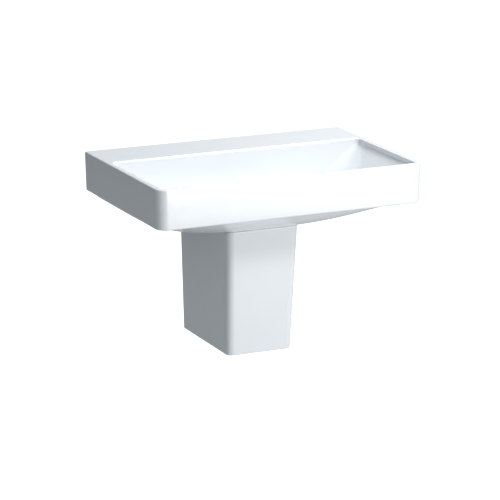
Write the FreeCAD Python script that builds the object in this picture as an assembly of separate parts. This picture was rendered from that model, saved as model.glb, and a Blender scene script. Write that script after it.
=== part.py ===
import FreeCAD, Part
import math
import os

# A wall-hung rectangular basin with a half pedestal, its push-open waste, bottle trap and wall fixings.
# Millimetres. X runs along the wall, the wall is the plane y = 0, the front faces -Y, and +Z is up.
# The origin lies on the wall, midway between the two bolts that hold the basin.

Vector = FreeCAD.Vector
UP = Vector(0, 0, 1)
DOWN = Vector(0, 0, -1)
OUT_OF_WALL = Vector(0, -1, 0)
INTO_WALL = Vector(0, 1, 0)

# ---- basin ----
BASIN_WIDTH = 700.0
BASIN_DEPTH = 465.0
RIM_HEIGHT = 90.0             # the rim's top above the fixing bolts
APRON_HEIGHT = 99.0
APRON_SIDE_TAPER = 2.8        # how far each side leans in from top to bottom
APRON_FRONT_TAPER = 2.3
FRONT_CORNER_RADIUS = 26.0
REAR_CORNER_RADIUS = 6.0
BEHIND_WALL = 12.0            # the block is rounded this far behind the wall plane, then cut flat
TOP_EDGE_RADIUS = 5.0
BOTTOM_EDGE_RADIUS = 4.0
BOWL_RIM_RADIUS = 4.0
CERAMIC_WALL = 10.0
DECK_DEPTH = 140.0            # the shelf between the wall and the bowl
DECK_THICKNESS = 14.0
SIDE_RIM = 15.0
FRONT_RIM = 15.0
BOWL_DEPTH = 118.0
LIP_DROP = 14.0               # height of the steep lip at the top of the bowl
LIP_LEAN = 3.0
SIDE_SLOPE = 1.02             # how far a wall comes in for each millimetre of depth
REAR_SLOPE = 0.22
FRONT_SLOPE = 0.75
BOWL_TOP_CORNER = 12.0
BOWL_FLOOR_CORNER = 56.0
FOOT_HEIGHT = 30.0            # the walls turn into the floor over this height
FOOT_REACH = 22.0
DRAIN_DISH_RADIUS = 90.0      # the floor dips towards the waste inside this radius
DRAIN_DISH_DROP = 3.0
BELLY_DEPTH = 77.0            # how far the underside hangs below the apron at its lowest
BELLY_MARGIN = 9.0            # flat strip between the apron's outer edge and the belly
BELLY_RISE = 0.56             # share of the way to the wall over which the belly reaches full depth
BELLY_FULLNESS = 2.2          # how quickly it fills out behind its front edge
BELLY_FLANK = 3.0             # how flat the belly is across its middle
BELLY_SHOULDER = 0.8          # how steeply it meets its side edges
BELLY_STATIONS = (0.03, 0.1, 0.2, 0.32, 0.45, 0.56, 0.78, 1.0)
FLANK_STATIONS = 12
BOSS_PAD = 2.0                # flat pad round the waste hole, proud of the belly
HOLLOW_FRONT = 50.0           # the front of the casting is solid this far back
BACK_PANEL = 14.0
ACCESS_WIDTH = 380.0
OVERFLOW_DROP = 46.0
OVERFLOW_RADIUS = 11.0
OVERFLOW_DUCT = 8.0
OVERFLOW_DUCT_WIDTH = 28.0
DUCT_STATIONS = (48.0, 75.0, 100.0, 135.0)  # distances behind the front where the duct is centred

# ---- waste ----
WASTE_FROM_WALL = 225.0
WASTE_HOLE_RADIUS = 23.0
WASTE_BOSS_RADIUS = 42.0
SEAT_RADIUS = 34.0
SEAT_DEPTH = 3.5
FLANGE_RADIUS = 32.5
FLANGE_THICKNESS = 2.5
FLANGE_SEAL = 1.0
FLANGE_ROUND = 1.0
WASTE_THREAD_RADIUS = 20.9
WASTE_BORE_RADIUS = 18.0
WASTE_BELOW_BASIN = 44.0      # length of thread that hangs below the basin
OVERFLOW_SLOT_WIDTH = 10.0
OVERFLOW_SLOT_HEIGHT = 18.0
OVERFLOW_SLOT_LIFT = 12.0     # the slots' lower end above the basin's boss
CAP_RADIUS = 31.5
CAP_THICKNESS = 3.0
CAP_ROUND = 2.2
CAP_TRAVEL = 9.0
STEM_RADIUS = 4.0
STEM_SHOULDER_RADIUS = 8.0
PLUG_SEAL_OVERLAP = 5.0       # how far the plug's seal reaches past the bore
CARTRIDGE_RADIUS = 7.5
CARTRIDGE_LENGTH = 34.0
CARTRIDGE_DROP = 3.0          # the barrel's mouth below the flange
CARTRIDGE_FLOOR = 3.0
CROSS_BAR = 6.0
GASKET_THICKNESS = 7.0
GASKET_RADIUS = 30.0
GASKET_TOP_RADIUS = 26.0
CLAMP_WASHER = 2.0
BACK_NUT_HEIGHT = 10.0
BACK_NUT_FLATS = 54.0

# ---- trap ----
PIPE_RADIUS = 16.0
PIPE_WALL = 1.8
SEAL_THICKNESS = 2.5
NUT_WALL = 4.0
NUT_LIP = 3.0
NUT_LIP_CLEARANCE = 0.5
INLET_NUT_HEIGHT = 22.0
TRAP_NUT_HEIGHT = 20.0
FLUTES = 12
FLUTE_RADIUS = 3.0
FLUTE_DEPTH = 1.4
TRAP_TOP_DROP = 78.0          # from the waste's lower end to the top of the trap body
NECK_WALL = 6.0               # from the dip tube to the outside of the neck's thread
TRAP_NECK_HEIGHT = 16.0
CHAMBER_GAP = 12.0            # from the dip tube to the outside of the chamber
TRAP_WALL = 2.6
SPOUT_BELOW_TOP = 13.4        # from the top of the trap body to the spout's upper side
BODY_BELOW_SPOUT = 19.4       # from the spout's lower side to the body's open end
TRAP_OUTLET_LENGTH = 22.0
SPOUT_WALL = 3.6
SHOULDER_ROUND = 5.0
CUP_WALL = 3.0                # round the body's thread
CUP_HEIGHT = 46.0
CUP_OVERLAP = 14.0            # the height over which the cup screws onto the body
CUP_GRIP = 2.0                # radius of each grip rib
CUP_RIBS = 18
CUP_RIB_TOP = 2.0             # the ribs start this far below the rim
CUP_RIB_LENGTH = 18.0
CUP_ROUND = 9.0
DIP_BELOW_OUTLET = 46.0
DIP_FLANGE = 3.0
SEAL_INSET = 1.0              # a seal's edge stays this far inside the piece that presses on it
TOP_SEAL_HEIGHT = 6.0
OUTLET_SEAL_HEIGHT = 5.0
SEAL_LIP = 1.5                # thickness of a tapered seal at its thin end
OUTLET_INTO_WALL = 60.0
PIPE_OVERLAP = 12.0           # the pipe's length inside the trap's spout
GROOVE_WIDTH = 1.0
GROOVE_DEPTH = 0.5
ESCUTCHEON_RADIUS = 38.0
ESCUTCHEON_DEPTH = 12.0
ESCUTCHEON_SHEET = 1.2

# ---- half pedestal ----
PEDESTAL_TOP_WIDTH = 194.0    # at the height of the apron's lower edge
PEDESTAL_BOTTOM_WIDTH = 174.0
PEDESTAL_TOP_REACH = 78.5     # how far its front stands out beyond the waste
PEDESTAL_BOTTOM_REACH = 51.0
PEDESTAL_BOTTOM = -396.0
PEDESTAL_CORNER_RADIUS = 18.0
PEDESTAL_WALL = 11.0
PEDESTAL_EDGE_RADIUS = 3.0
PEDESTAL_GAP = 1.5            # joint between the pedestal and the basin
LUG_HEIGHT = 50.0
LUG_THICKNESS = 14.0
LUG_CENTRE_Z = -320.0
LUG_MARGIN = 4.0              # lug beside its washer

# ---- wall fixings ----
BASIN_BOLT_SPACING = 280.0
BASIN_BOLT_RADIUS = 5.0
BASIN_BOLT_IN_WALL = 62.0
BASIN_HOLE_RADIUS = 8.0
BASIN_NUT_FLATS = 16.0
BASIN_NUT_HEIGHT = 8.0
BASIN_WASHER_RADIUS = 12.0
PEDESTAL_BOLT_SPACING = 132.0
PEDESTAL_BOLT_RADIUS = 3.0
PEDESTAL_BOLT_IN_WALL = 35.0
PEDESTAL_HOLE_RADIUS = 5.0
PEDESTAL_NUT_FLATS = 10.0
PEDESTAL_NUT_HEIGHT = 5.0
PEDESTAL_WASHER_RADIUS = 9.0
WASHER_THICKNESS = 2.0
SLEEVE_FLANGE = 2.5
SLEEVE_CLEARANCE = 0.5
SLEEVE_BACK = 1.0             # a sleeve's tube stops this far short of the wall
BOLT_BEYOND_NUT = 10.0
BOLT_TIP_RADIUS = 0.8
BOLT_END_CHAMFER = 1.0
SLEEVE_RIM = 5.0              # how far a sleeve's flange reaches past its hole
SCREW_STEP = 0.2              # the wood thread's radius is this much under the machine thread's

# ---- clearances ----
SLIDE_CLEARANCE = 0.06
THREAD_CLEARANCE = 0.3

# ---- heights and places that follow from the sizes above ----
APRON_BOTTOM = RIM_HEIGHT - APRON_HEIGHT
UNDERSIDE = APRON_BOTTOM - BELLY_DEPTH
BOSS_BOTTOM = UNDERSIDE - BOSS_PAD
BOWL_FLOOR = RIM_HEIGHT - BOWL_DEPTH
WASTE_END = BOSS_BOTTOM - WASTE_BELOW_BASIN
SEAT_FLOOR = BOWL_FLOOR - DRAIN_DISH_DROP - SEAT_DEPTH
FLANGE_TOP = SEAT_FLOOR + FLANGE_SEAL + FLANGE_THICKNESS
TRAP_NECK_RADIUS = PIPE_RADIUS + NECK_WALL
TRAP_BODY_RADIUS = PIPE_RADIUS + CHAMBER_GAP
CUP_RADIUS = TRAP_BODY_RADIUS + CUP_WALL
SPOUT_RADIUS = PIPE_RADIUS + SPOUT_WALL
TRAP_OUTLET_DROP = SPOUT_BELOW_TOP + SPOUT_RADIUS
TRAP_BODY_HEIGHT = TRAP_OUTLET_DROP + SPOUT_RADIUS + BODY_BELOW_SPOUT
TRAP_TOP = WASTE_END - TRAP_TOP_DROP
TRAP_OUTLET_Z = TRAP_TOP - TRAP_OUTLET_DROP
DIP_FLANGE_TOP = WASTE_END - SEAL_THICKNESS
DIP_BOTTOM = TRAP_OUTLET_Z - DIP_BELOW_OUTLET
TRAP_BODY_BOTTOM = TRAP_TOP - TRAP_BODY_HEIGHT
TRAP_OUTLET_END = -WASTE_FROM_WALL + TRAP_BODY_RADIUS + TRAP_OUTLET_LENGTH
PEDESTAL_TOP_DEPTH = WASTE_FROM_WALL + PEDESTAL_TOP_REACH
PEDESTAL_BOTTOM_DEPTH = WASTE_FROM_WALL + PEDESTAL_BOTTOM_REACH


# ---- small shared shapes ----
def cylinder(radius, height, base, direction=UP):
    return Part.makeCylinder(radius, height, base, direction)


def ring(outer, inner, height, base, direction=UP):
    return cylinder(outer, height, base, direction).cut(cylinder(inner, height, base, direction))


def on_waste(z):
    return Vector(0, -WASTE_FROM_WALL, z)


def hexagon_nut(flats, inner, height, base, direction=UP):
    radius = flats / math.sqrt(3.0)
    corners = []
    for side in range(7):
        angle = math.radians(60.0 * side)
        corners.append(Vector(radius * math.cos(angle), radius * math.sin(angle), 0))
    prism = Part.Face(Part.makePolygon(corners)).extrude(Vector(0, 0, height))
    slope = radius - flats / 2.0
    lower = Part.makeCone(flats / 2.0, flats / 2.0 + height, height)
    upper = Part.makeCone(flats / 2.0 + height, flats / 2.0, height)
    chamfer = slope / 2.0
    lower.translate(Vector(0, 0, -chamfer))
    upper.translate(Vector(0, 0, chamfer))
    prism = prism.common(lower.fuse(cylinder(radius, height, Vector(0, 0, height / 2.0))))
    prism = prism.common(upper.fuse(cylinder(radius, height, Vector(0, 0, -height / 2.0))))
    nut = prism.cut(cylinder(inner, height, Vector(0, 0, 0)))
    nut.Placement = FreeCAD.Placement(base, FreeCAD.Rotation(UP, direction))
    return nut


def rounded_outline(left, right, front, rear, front_radius, rear_radius, z):
    """A rectangle with rounded corners, as a closed wire at height z."""
    corners = [
        (right, front, front_radius, -90),
        (right, rear, rear_radius, 0),
        (left, rear, rear_radius, 90),
        (left, front, front_radius, 180),
    ]
    edges = []
    last = None
    first = None
    for x, y, radius, start in corners:
        centre = Vector(x - math.copysign(radius, x), y + (radius if y == front else -radius), z)
        arc = Part.ArcOfCircle(
            Part.Circle(centre, UP, radius), math.radians(start), math.radians(start + 90)
        )
        begin = arc.value(arc.FirstParameter)
        end = arc.value(arc.LastParameter)
        if last is not None:
            edges.append(Part.LineSegment(last, begin).toShape())
        else:
            first = begin
        edges.append(arc.toShape())
        last = end
    edges.append(Part.LineSegment(last, first).toShape())
    return Part.Wire(edges)


def edges_at_height(shape, z, keep=None):
    """The edges of a shape that lie in the plane at height z and pass the test."""
    found = []
    for edge in shape.Edges:
        box = edge.BoundBox
        if abs(box.ZMin - z) < 1e-3 and abs(box.ZMax - z) < 1e-3:
            if keep is None or keep(edge.CenterOfMass):
                found.append(edge)
    return found


# ---- basin ----
def apron(inset, rear, top, bottom):
    """The basin's box between two heights, its side and front walls moved inwards by inset."""
    wires = []
    for z in (top, bottom):
        lean = (RIM_HEIGHT - z) / APRON_HEIGHT
        half = BASIN_WIDTH / 2.0 - APRON_SIDE_TAPER * lean - inset
        front = -BASIN_DEPTH + APRON_FRONT_TAPER * lean + inset
        wires.append(rounded_outline(
            -half, half, front, rear,
            max(FRONT_CORNER_RADIUS - inset, REAR_CORNER_RADIUS), REAR_CORNER_RADIUS, z,
        ))
    return Part.makeLoft(wires, True, True)


def belly_front():
    return -BASIN_DEPTH + APRON_FRONT_TAPER + 2.0 * BELLY_MARGIN


def belly_share(along):
    """Share of the belly's full depth at a share of the way from its front edge to the wall."""
    return 1.0 - (1.0 - min(along / BELLY_RISE, 1.0)) ** BELLY_FULLNESS


def belly(inset):
    """The rounded underside: flattened arches that grow from the front edge to the waste."""
    half = BASIN_WIDTH / 2.0 - APRON_SIDE_TAPER - BELLY_MARGIN - inset
    edge = APRON_BOTTOM + inset
    lift = Vector(0, 0, 2.0 * BOTTOM_EDGE_RADIUS)
    sections = []
    for along in BELLY_STATIONS:
        y = min(belly_front() * (1.0 - along), -inset)
        depth = belly_share(along) * BELLY_DEPTH
        arch = []
        for step in range(FLANK_STATIONS + 1):
            across = -math.cos(math.pi * step / FLANK_STATIONS)
            drop = depth * max(1.0 - abs(across) ** BELLY_FLANK, 0.0) ** BELLY_SHOULDER
            arch.append(Vector(across * half, y, edge - drop))
        curve = Part.BSplineCurve()
        curve.interpolate(arch)
        sides = Part.makePolygon([arch[-1], arch[-1] + lift, arch[0] + lift, arch[0]])
        sections.append(Part.Wire([curve.toShape()] + sides.Edges))
    return Part.makeLoft(sections, True, False)


def bowl(wall):
    """The bowl's hollow, each wall moved outwards by wall: a steep lip, leaning walls and a rounded foot."""
    half = BASIN_WIDTH / 2.0 - SIDE_RIM + wall
    rear = -DECK_DEPTH + wall
    front = -BASIN_DEPTH + FRONT_RIM - wall
    foot_start = BOWL_DEPTH - FOOT_HEIGHT
    drops = [0.0, LIP_DROP, (LIP_DROP + foot_start) / 2.0, foot_start]
    drops += [foot_start + share * FOOT_HEIGHT for share in (0.5, 0.8, 0.95, 1.0)]
    sections = []
    for drop in drops:
        below_lip = max(drop - LIP_DROP, 0.0)
        lip = LIP_LEAN * min(drop / LIP_DROP, 1.0)
        turn = max(drop - foot_start, 0.0) / FOOT_HEIGHT
        foot = FOOT_REACH * (1.0 - math.sqrt(1.0 - turn * turn))
        corner = BOWL_TOP_CORNER + (BOWL_FLOOR_CORNER - BOWL_TOP_CORNER) * drop / BOWL_DEPTH + wall
        side = half - lip - SIDE_SLOPE * below_lip - foot
        back = rear - lip - REAR_SLOPE * below_lip - foot
        nose = front + lip + FRONT_SLOPE * below_lip + foot
        z = RIM_HEIGHT - drop - wall * (drop / BOWL_DEPTH if drop else 1.0 / 3.0)
        sections.append(rounded_outline(-side, side, nose, back, corner, corner, z))
    return Part.makeLoft(sections, True, False)


def underside_at(y):
    """Height of the belly's lowest line at distance -y from the wall."""
    along = (y - belly_front()) / -belly_front()
    return APRON_BOTTOM - belly_share(along) * BELLY_DEPTH


def bowl_bottom_at(y):
    """Height of the bowl's inner surface behind its front wall."""
    lip_y = -BASIN_DEPTH + FRONT_RIM + LIP_LEAN
    drop = LIP_DROP + (y - lip_y) / FRONT_SLOPE
    return RIM_HEIGHT - min(drop, BOWL_DEPTH)


def overflow_duct():
    """The channel midway through the front wall and floor, from the overflow hole to the waste."""
    hole_z = RIM_HEIGHT - OVERFLOW_DROP
    bowl_y = -BASIN_DEPTH + FRONT_RIM + LIP_LEAN + (OVERFLOW_DROP - LIP_DROP) * FRONT_SLOPE
    hole_y = (bowl_y - BASIN_DEPTH) / 2.0
    path = [(hole_y, hole_z + OVERFLOW_RADIUS), (hole_y, hole_z - OVERFLOW_RADIUS)]
    for behind_front in DUCT_STATIONS:
        y = -BASIN_DEPTH + behind_front
        path.append((y, (underside_at(y) + bowl_bottom_at(y)) / 2.0))
    path.append((-WASTE_FROM_WALL, (SEAT_FLOOR + BOSS_BOTTOM) / 2.0))
    inner = []
    outer = []
    for index, (y, z) in enumerate(path):
        before = path[max(index - 1, 0)]
        after = path[min(index + 1, len(path) - 1)]
        along = Vector(0, after[0] - before[0], after[1] - before[1]).normalize()
        across = Vector(1, 0, 0).cross(along) * (OVERFLOW_DUCT / 2.0)
        inner.append(Vector(0, y, z) + across)
        outer.append(Vector(0, y, z) - across)
    outline = Part.makePolygon(inner + outer[::-1] + inner[:1])
    duct = Part.Face(outline).extrude(Vector(OVERFLOW_DUCT_WIDTH, 0, 0))
    duct.translate(Vector(-OVERFLOW_DUCT_WIDTH / 2.0, 0, 0))
    hole = cylinder(OVERFLOW_RADIUS, FRONT_RIM + OVERFLOW_DROP, Vector(0, hole_y, hole_z), INTO_WALL)
    return duct.fuse(hole)


def basin_bulk():
    """The basin's outer form, before anything is hollowed out."""
    block = apron(0.0, BEHIND_WALL, RIM_HEIGHT, APRON_BOTTOM)
    block = block.makeFillet(BOTTOM_EDGE_RADIUS, edges_at_height(block, APRON_BOTTOM))
    block = block.makeFillet(TOP_EDGE_RADIUS, edges_at_height(block, RIM_HEIGHT))
    behind = Part.makeBox(2 * BASIN_WIDTH, 2 * BEHIND_WALL, 4 * APRON_HEIGHT)
    behind.translate(Vector(-BASIN_WIDTH, 0, APRON_BOTTOM - APRON_HEIGHT))
    return block.cut(behind).fuse(belly(0.0))


def make_basin():
    # the casting is hollow under the deck and round the bowl, and open behind the bowl for the bolts
    keep = Part.makeBox(
        BASIN_WIDTH, BASIN_DEPTH - HOLLOW_FRONT - BACK_PANEL, 2 * BASIN_DEPTH,
        Vector(-BASIN_WIDTH / 2.0, -BASIN_DEPTH + HOLLOW_FRONT, -BASIN_DEPTH),
    )
    body = basin_bulk()
    void = apron(CERAMIC_WALL, -CERAMIC_WALL, RIM_HEIGHT - DECK_THICKNESS, APRON_BOTTOM + CERAMIC_WALL)
    body = body.cut(void.common(keep))
    body = body.cut(belly(CERAMIC_WALL).common(keep))
    access_depth = DECK_DEPTH - CERAMIC_WALL - BACK_PANEL
    body = body.cut(Part.makeBox(
        ACCESS_WIDTH, access_depth, BELLY_DEPTH,
        Vector(-ACCESS_WIDTH / 2.0, -BACK_PANEL - access_depth, BOSS_BOTTOM - CERAMIC_WALL),
    ))

    # the bowl's wall, the rib that holds the overflow duct, and the boss for the waste
    boss_height = BOWL_FLOOR - CERAMIC_WALL / 2.0 - BOSS_BOTTOM
    core = bowl(CERAMIC_WALL).fuse(cylinder(WASTE_BOSS_RADIUS, boss_height, on_waste(BOSS_BOTTOM)))
    rib_width = OVERFLOW_DUCT_WIDTH + 2.0 * CERAMIC_WALL
    rib = Part.makeBox(
        rib_width, BASIN_DEPTH - WASTE_FROM_WALL - HOLLOW_FRONT / 2.0, RIM_HEIGHT - BOSS_BOTTOM,
        Vector(-rib_width / 2.0, -BASIN_DEPTH + HOLLOW_FRONT / 2.0, BOSS_BOTTOM),
    )
    body = body.fuse(core.fuse(rib.common(basin_bulk())))

    body = body.cut(bowl(0.0))
    body = body.makeFillet(BOWL_RIM_RADIUS, edges_at_height(body, RIM_HEIGHT, over_bowl))
    body = body.cut(overflow_duct())
    dish_floor = on_waste(BOWL_FLOOR - DRAIN_DISH_DROP)
    body = body.cut(Part.makeCone(SEAT_RADIUS, DRAIN_DISH_RADIUS, DRAIN_DISH_DROP, dish_floor))
    body = body.cut(cylinder(SEAT_RADIUS, SEAT_DEPTH + DRAIN_DISH_DROP, on_waste(SEAT_FLOOR)))
    body = body.cut(cylinder(WASTE_HOLE_RADIUS, BOWL_DEPTH, on_waste(BOSS_BOTTOM - 1.0)))
    for x in bolt_places(BASIN_BOLT_SPACING):
        body = body.cut(cylinder(BASIN_HOLE_RADIUS, BACK_PANEL + 2.0, Vector(x, 1.0, 0), OUT_OF_WALL))
    return body


def over_bowl(point):
    inside_x = abs(point.x) < BASIN_WIDTH / 2.0 - SIDE_RIM + 1.0
    inside_y = -BASIN_DEPTH + FRONT_RIM - 1.0 < point.y < -DECK_DEPTH + 1.0
    return inside_x and inside_y


# ---- half pedestal ----
def pedestal_shell(inset, top):
    """A tapering post that runs on past the wall plane, each side moved inwards by inset."""
    wires = []
    for z in (top, PEDESTAL_BOTTOM - (1.0 if inset else 0.0)):
        share = (z - PEDESTAL_BOTTOM) / (APRON_BOTTOM - PEDESTAL_BOTTOM)
        half = (PEDESTAL_BOTTOM_WIDTH + share * (PEDESTAL_TOP_WIDTH - PEDESTAL_BOTTOM_WIDTH)) / 2.0 - inset
        depth = PEDESTAL_BOTTOM_DEPTH + share * (PEDESTAL_TOP_DEPTH - PEDESTAL_BOTTOM_DEPTH) - inset
        radius = PEDESTAL_CORNER_RADIUS - inset
        wires.append(rounded_outline(-half, half, -depth, PEDESTAL_CORNER_RADIUS, radius, radius, z))
    return Part.makeLoft(wires, True, True)


def make_half_pedestal():
    top = UNDERSIDE + BELLY_DEPTH / 2.0
    outer = pedestal_shell(0.0, top)
    outer = outer.makeFillet(PEDESTAL_EDGE_RADIUS, edges_at_height(outer, PEDESTAL_BOTTOM))
    behind_wall = Part.makeBox(2 * PEDESTAL_TOP_WIDTH, PEDESTAL_TOP_DEPTH, 2 * PEDESTAL_TOP_DEPTH)
    behind_wall.translate(Vector(-PEDESTAL_TOP_WIDTH, 0, PEDESTAL_BOTTOM - 1.0))
    outer = outer.cut(behind_wall)
    body = outer.cut(pedestal_shell(PEDESTAL_WALL, top))
    for side in (-1, 1):
        body = body.fuse(pedestal_lug(side).common(outer))
    lowered = basin_bulk()
    lowered.translate(Vector(0, 0, -PEDESTAL_GAP))
    body = body.cut(lowered)
    for x in bolt_places(PEDESTAL_BOLT_SPACING):
        hole = cylinder(PEDESTAL_HOLE_RADIUS, LUG_THICKNESS + 2.0, Vector(x, 1.0, LUG_CENTRE_Z), OUT_OF_WALL)
        body = body.cut(hole)
    return body


def pedestal_lug(side):
    """One of the two webs at the back of the half pedestal that its wall bolts go through."""
    inner = PEDESTAL_BOLT_SPACING / 2.0 - PEDESTAL_WASHER_RADIUS - LUG_MARGIN
    outer = PEDESTAL_TOP_WIDTH / 2.0
    corner = Vector(inner if side > 0 else -outer, -LUG_THICKNESS, LUG_CENTRE_Z - LUG_HEIGHT / 2.0)
    return Part.makeBox(outer - inner, LUG_THICKNESS, LUG_HEIGHT, corner)


# ---- wall fixings ----
def bolt_places(spacing):
    return (-spacing / 2.0, spacing / 2.0)


def make_hanger_bolt(x, z, radius, in_wall, out_of_wall):
    """A bolt with a pointed wood thread in the wall and a chamfered machine thread outside."""
    screw = radius - SCREW_STEP
    tip = 2.0 * radius
    chamfer = BOLT_END_CHAMFER
    thread = cylinder(radius, out_of_wall - chamfer, Vector(x, 0, z), OUT_OF_WALL)
    end = Part.makeCone(radius, radius - chamfer, chamfer, Vector(x, chamfer - out_of_wall, z), OUT_OF_WALL)
    in_plug = cylinder(screw, in_wall - tip, Vector(x, 0, z), INTO_WALL)
    point = Part.makeCone(screw, BOLT_TIP_RADIUS, tip, Vector(x, in_wall - tip, z), INTO_WALL)
    return thread.fuse(end).fuse(in_plug).fuse(point)


def make_bolt_sleeve(x, z, bolt_radius, hole_radius, panel):
    """A plastic collar: its tube lines the ceramic hole and its flange sits under the washer."""
    tube_start = Vector(x, -SLEEVE_BACK, z)
    tube = cylinder(hole_radius - SLEEVE_CLEARANCE, panel - SLEEVE_BACK, tube_start, OUT_OF_WALL)
    flange = cylinder(hole_radius + SLEEVE_RIM, SLEEVE_FLANGE, Vector(x, -panel, z), OUT_OF_WALL)
    hole = cylinder(bolt_radius, panel + 2.0 * SLEEVE_FLANGE, Vector(x, 0.0, z), OUT_OF_WALL)
    return tube.fuse(flange).cut(hole)


def make_fixing_set(prefix, spacing, z, bolt, in_wall, hole, panel, washer, flats, nut):
    """Bolts, sleeves, washers and nuts of the two fixings at one height."""
    kinds = ("hanger_bolts", "bolt_sleeves", "fixing_washers", "fixing_nuts")
    pieces = {kind: [] for kind in kinds}
    for x in bolt_places(spacing):
        washer_y = -panel - SLEEVE_FLANGE
        nut_y = washer_y - WASHER_THICKNESS
        reach = -nut_y + nut + BOLT_BEYOND_NUT
        pieces["hanger_bolts"].append(make_hanger_bolt(x, z, bolt, in_wall, reach))
        pieces["bolt_sleeves"].append(make_bolt_sleeve(x, z, bolt, hole, panel))
        pieces["fixing_washers"].append(
            ring(washer, bolt + THREAD_CLEARANCE, WASHER_THICKNESS, Vector(x, washer_y, z), OUT_OF_WALL))
        pieces["fixing_nuts"].append(hexagon_nut(flats, bolt, nut, Vector(x, nut_y, z), OUT_OF_WALL))
    return {prefix + "_" + name: Part.makeCompound(solids) for name, solids in pieces.items()}


# ---- waste ----
def make_waste_body():
    """The flange and threaded tube, with two overflow slots and a bar that holds the click mechanism."""
    seat_top = SEAT_FLOOR + FLANGE_SEAL
    body = cylinder(FLANGE_RADIUS, FLANGE_THICKNESS, on_waste(seat_top))
    body = body.makeFillet(FLANGE_ROUND, edges_at_height(body, FLANGE_TOP))
    body = body.fuse(cylinder(WASTE_THREAD_RADIUS, seat_top - WASTE_END, on_waste(WASTE_END)))
    body = body.cut(cylinder(WASTE_BORE_RADIUS, FLANGE_TOP - WASTE_END, on_waste(WASTE_END)))
    slot = Part.makeBox(OVERFLOW_SLOT_WIDTH, 4 * WASTE_THREAD_RADIUS, OVERFLOW_SLOT_HEIGHT)
    slot.translate(Vector(
        -OVERFLOW_SLOT_WIDTH / 2.0, -WASTE_FROM_WALL - 2 * WASTE_THREAD_RADIUS,
        BOSS_BOTTOM + OVERFLOW_SLOT_LIFT))
    body = body.cut(slot)
    bar = Part.makeBox(2 * WASTE_THREAD_RADIUS, CROSS_BAR, CROSS_BAR)
    bar.translate(Vector(-WASTE_THREAD_RADIUS, -WASTE_FROM_WALL - CROSS_BAR / 2.0, cross_bar_bottom()))
    bar = bar.common(cylinder(WASTE_BORE_RADIUS + 1.0, 2 * CROSS_BAR, on_waste(cross_bar_bottom() - 1.0)))
    return body.fuse(bar)


def cross_bar_bottom():
    return FLANGE_TOP - CARTRIDGE_DROP - CARTRIDGE_LENGTH - CROSS_BAR


def make_flange_seal():
    return ring(FLANGE_RADIUS - SEAL_INSET, WASTE_THREAD_RADIUS, FLANGE_SEAL, on_waste(SEAT_FLOOR))


def make_plug_cap():
    """A round cap with a rounded upper edge."""
    top = FLANGE_TOP + SEAL_THICKNESS + CAP_THICKNESS
    dome = cylinder(CAP_RADIUS, CAP_THICKNESS, on_waste(FLANGE_TOP + SEAL_THICKNESS))
    return dome.makeFillet(CAP_ROUND, edges_at_height(dome, top))


def make_plug_seal():
    outer = WASTE_BORE_RADIUS + PLUG_SEAL_OVERLAP
    return ring(outer, STEM_SHOULDER_RADIUS, SEAL_THICKNESS, on_waste(FLANGE_TOP))


def make_plug_stem():
    """The stem that hangs from the cap into the cartridge."""
    shoulder = cylinder(STEM_SHOULDER_RADIUS, SEAL_THICKNESS, on_waste(FLANGE_TOP))
    length = CARTRIDGE_LENGTH - CAP_TRAVEL
    return shoulder.fuse(cylinder(STEM_RADIUS, length, on_waste(FLANGE_TOP - length)))


def make_plug_cartridge():
    """The fixed barrel of the click mechanism, open at the top for the stem."""
    bottom = cross_bar_bottom() + CROSS_BAR
    barrel = cylinder(CARTRIDGE_RADIUS, CARTRIDGE_LENGTH, on_waste(bottom))
    well_depth = CARTRIDGE_LENGTH - CARTRIDGE_FLOOR
    return barrel.cut(cylinder(STEM_RADIUS + SLIDE_CLEARANCE, well_depth, on_waste(bottom + CARTRIDGE_FLOOR)))


def make_waste_gasket():
    """A tapered rubber ring pressed up against the basin round the waste thread."""
    base = on_waste(BOSS_BOTTOM - GASKET_THICKNESS)
    cone = Part.makeCone(GASKET_RADIUS, GASKET_TOP_RADIUS, GASKET_THICKNESS, base)
    return cone.cut(cylinder(WASTE_THREAD_RADIUS, GASKET_THICKNESS, base))


def make_waste_clamp_washer():
    base = BOSS_BOTTOM - GASKET_THICKNESS - CLAMP_WASHER
    return ring(GASKET_RADIUS, WASTE_THREAD_RADIUS + THREAD_CLEARANCE, CLAMP_WASHER, on_waste(base))


def make_waste_back_nut():
    base = BOSS_BOTTOM - GASKET_THICKNESS - CLAMP_WASHER - BACK_NUT_HEIGHT
    return hexagon_nut(BACK_NUT_FLATS, WASTE_THREAD_RADIUS, BACK_NUT_HEIGHT, on_waste(base))


# ---- trap ----
def fluted_nut(outer, height, base, direction, inner, lip_inner, lip):
    """A hand nut with grip flutes, a thread bore and a lip that pulls on the piece inside it."""
    body = cylinder(outer, height, Vector(0, 0, 0))
    reach = outer + FLUTE_RADIUS - FLUTE_DEPTH
    for index in range(FLUTES):
        angle = 2.0 * math.pi * index / FLUTES
        place = Vector(reach * math.cos(angle), reach * math.sin(angle), 0)
        body = body.cut(cylinder(FLUTE_RADIUS, height, place))
    body = body.cut(cylinder(inner, height - lip, Vector(0, 0, lip)))
    body = body.cut(cylinder(lip_inner, lip, Vector(0, 0, 0)))
    body.Placement = FreeCAD.Placement(base, FreeCAD.Rotation(UP, direction))
    return body


def make_trap_inlet_nut():
    base = DIP_FLANGE_TOP - DIP_FLANGE - NUT_LIP
    return fluted_nut(WASTE_THREAD_RADIUS + NUT_WALL, INLET_NUT_HEIGHT, on_waste(base), UP,
                      WASTE_THREAD_RADIUS, PIPE_RADIUS, NUT_LIP)


def make_trap_inlet_seal():
    inner = PIPE_RADIUS - PIPE_WALL
    return ring(WASTE_THREAD_RADIUS - SEAL_INSET, inner, SEAL_THICKNESS, on_waste(DIP_FLANGE_TOP))


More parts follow.
